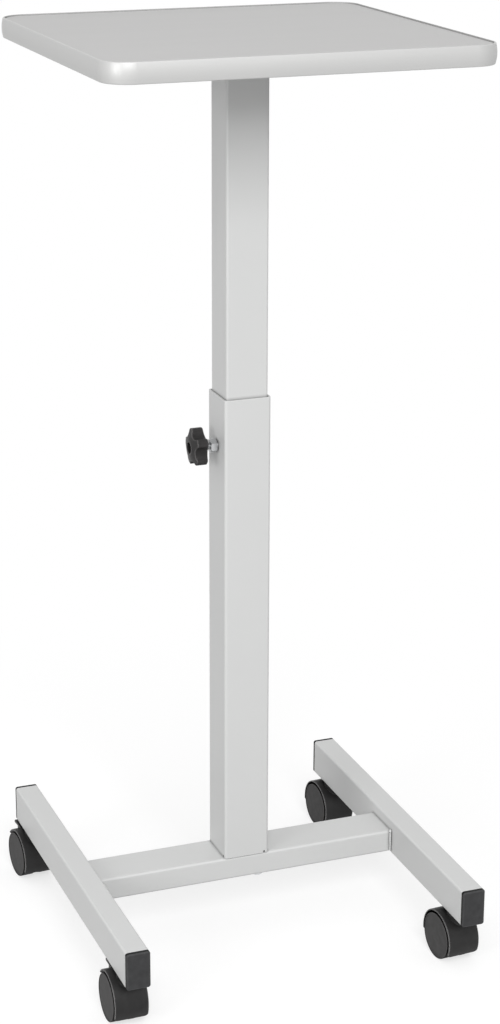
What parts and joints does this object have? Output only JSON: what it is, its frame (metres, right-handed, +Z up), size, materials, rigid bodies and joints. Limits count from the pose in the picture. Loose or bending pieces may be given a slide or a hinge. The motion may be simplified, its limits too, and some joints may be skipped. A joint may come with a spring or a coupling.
{
  "type": "portable projector stand",
  "caption": "Wheeled stand with a square board on a telescopic square column, clamped by a star knob, on an H-shaped foot with hooded twin-wheel casters.",
  "frame": {"origin": "on the floor under the axis of the column; the middle of the box lies about 2.5 mm further left, because the casters sit a little to the left of the runners and are turned", "axes": "+Z up along the column, +Y to the back, +X to the right, with the knob on the -X face"},
  "size_m": [0.4068, 0.4139, 0.961],
  "materials": {
    "frame_paint": "light grey powder coat, fine texture, satin",
    "top_laminate": "matt light grey laminate on chipboard",
    "edge_plastic": "smooth light grey plastic edge band",
    "cap_plastic": "dark grey moulded plastic, matt",
    "black_plastic": "black moulded plastic, satin",
    "wheel_plastic": "charcoal moulded plastic, matt",
    "knob_plastic": "black moulded plastic with soft highlights",
    "zinc_steel": "zinc-plated steel"
  },
  "bodies": {
    "base": {"left_runner": "frame_paint", "right_runner": "frame_paint", "cross_bar": "frame_paint", "outer_column": "frame_paint", "foot_plate": "frame_paint", "column_bolts": "zinc_steel", "clamp_nut": "zinc_steel", "front_left_cap": "cap_plastic", "front_left_socket": "black_plastic", "front_right_cap": "cap_plastic", "front_right_socket": "black_plastic", "back_left_cap": "cap_plastic", "back_left_socket": "black_plastic", "back_right_cap": "cap_plastic", "back_right_socket": "black_plastic"},
    "upper": {"inner_column": "frame_paint", "top_plate": "frame_paint", "top_board": "top_laminate", "edge_band": "edge_plastic"},
    "knob": {"clamp_knob": "knob_plastic", "clamp_screw": "zinc_steel"},
    "front_left_caster": {"front_left_hood": "black_plastic", "front_left_stem": "zinc_steel", "front_left_axle": "zinc_steel"},
    "front_left_left_wheel": {"front_left_wheel_left": "wheel_plastic"},
    "front_left_right_wheel": {"front_left_wheel_right": "wheel_plastic"},
    "front_left_brake_lever": {"front_left_brake": "black_plastic"},
    "front_right_caster": {"front_right_hood": "black_plastic", "front_right_stem": "zinc_steel", "front_right_axle": "zinc_steel"},
    "front_right_left_wheel": {"front_right_wheel_left": "wheel_plastic"},
    "front_right_right_wheel": {"front_right_wheel_right": "wheel_plastic"},
    "back_left_caster": {"back_left_hood": "black_plastic", "back_left_stem": "zinc_steel", "back_left_axle": "zinc_steel"},
    "back_left_left_wheel": {"back_left_wheel_left": "wheel_plastic"},
    "back_left_right_wheel": {"back_left_wheel_right": "wheel_plastic"},
    "back_left_brake_lever": {"back_left_brake": "black_plastic"},
    "back_right_caster": {"back_right_hood": "black_plastic", "back_right_stem": "zinc_steel", "back_right_axle": "zinc_steel"},
    "back_right_left_wheel": {"back_right_wheel_left": "wheel_plastic"},
    "back_right_right_wheel": {"back_right_wheel_right": "wheel_plastic"}
  },
  "joints": [
    {"name": "height_slide", "type": "slide", "parent": "base", "child": "upper", "axis": [0, 0, 1], "range_m": [-0.33, 0.08]},
    {"name": "knob_turn", "type": "hinge", "parent": "base", "child": "knob", "pos_m": [-0.025, 0, 0.542], "axis": [-1, 0, 0], "range_deg": [0, 540]},
    {"name": "front_left_swivel", "type": "hinge", "parent": "base", "child": "front_left_caster", "pos_m": [-0.1845, -0.1715, 0.056], "axis": [0, 0, 1], "continuous": true},
    {"name": "front_left_left_spin", "type": "hinge", "parent": "front_left_caster", "child": "front_left_left_wheel", "pos_m": [-0.1845, -0.1605, 0.025], "axis": [1, 0, 0], "continuous": true},
    {"name": "front_left_right_spin", "type": "hinge", "parent": "front_left_caster", "child": "front_left_right_wheel", "pos_m": [-0.1845, -0.1605, 0.025], "axis": [1, 0, 0], "continuous": true},
    {"name": "front_left_brake_press", "type": "hinge", "parent": "front_left_caster", "child": "front_left_brake_lever", "pos_m": [-0.1845, -0.1585, 0.0524], "axis": [-1, 0, 0], "range_deg": [0, 7]},
    {"name": "front_right_swivel", "type": "hinge", "parent": "base", "child": "front_right_caster", "pos_m": [0.1815, -0.1715, 0.056], "axis": [0, 0, 1], "continuous": true},
    {"name": "front_right_left_spin", "type": "hinge", "parent": "front_right_caster", "child": "front_right_left_wheel", "pos_m": [0.18073, -0.16053, 0.025], "axis": [0.9976, 0.0698, 0], "continuous": true},
    {"name": "front_right_right_spin", "type": "hinge", "parent": "front_right_caster", "child": "front_right_right_wheel", "pos_m": [0.18073, -0.16053, 0.025], "axis": [0.9976, 0.0698, 0], "continuous": true},
    {"name": "back_left_swivel", "type": "hinge", "parent": "base", "child": "back_left_caster", "pos_m": [-0.1845, 0.1655, 0.056], "axis": [0, 0, 1], "continuous": true},
    {"name": "back_left_left_spin", "type": "hinge", "parent": "back_left_caster", "child": "back_left_left_wheel", "pos_m": [-0.18536, 0.17647, 0.025], "axis": [0.9969, 0.0785, 0], "continuous": true},
    {"name": "back_left_right_spin", "type": "hinge", "parent": "back_left_caster", "child": "back_left_right_wheel", "pos_m": [-0.18536, 0.17647, 0.025], "axis": [0.9969, 0.0785, 0], "continuous": true},
    {"name": "back_left_brake_press", "type": "hinge", "parent": "back_left_caster", "child": "back_left_brake_lever", "pos_m": [-0.18552, 0.17846, 0.0524], "axis": [-0.9969, -0.0785, 0], "range_deg": [0, 7]},
    {"name": "back_right_swivel", "type": "hinge", "parent": "base", "child": "back_right_caster", "pos_m": [0.1815, 0.1655, 0.056], "axis": [0, 0, 1], "continuous": true},
    {"name": "back_right_left_spin", "type": "hinge", "parent": "back_right_caster", "child": "back_right_left_wheel", "pos_m": [0.18073, 0.17647, 0.025], "axis": [0.9976, 0.0698, 0], "continuous": true},
    {"name": "back_right_right_spin", "type": "hinge", "parent": "back_right_caster", "child": "back_right_right_wheel", "pos_m": [0.18073, 0.17647, 0.025], "axis": [0.9976, 0.0698, 0], "continuous": true}
  ]
}
